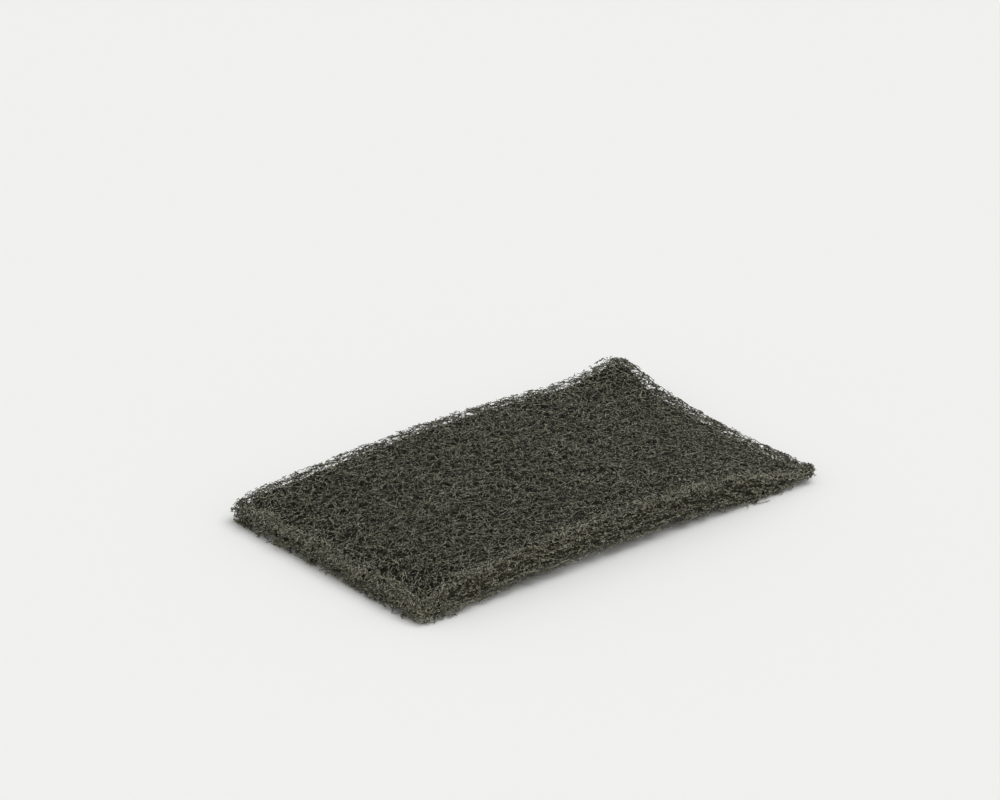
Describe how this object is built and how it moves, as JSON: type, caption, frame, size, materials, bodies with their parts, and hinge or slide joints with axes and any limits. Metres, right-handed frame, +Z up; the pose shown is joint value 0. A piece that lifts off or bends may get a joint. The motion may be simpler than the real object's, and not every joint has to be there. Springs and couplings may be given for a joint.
{
  "type": "abrasive hand pad",
  "caption": "Rectangular hand pad of lofty non-woven abrasive web, slightly arched, with flattened ends and ragged cut edges.",
  "frame": {"origin": "under the middle of the pad, on the surface that it rests on", "axes": "+X along the long side, +Y across the short side from the front edge to the back edge, +Z up"},
  "size_m": [0.1278, 0.0776, 0.0119],
  "materials": {
    "abrasive_web": "matte open web of crimped nylon fibre coated in dark abrasive resin"
  },
  "bodies": {
    "root": {"abrasive_web": "abrasive_web"}
  },
  "joints": []
}
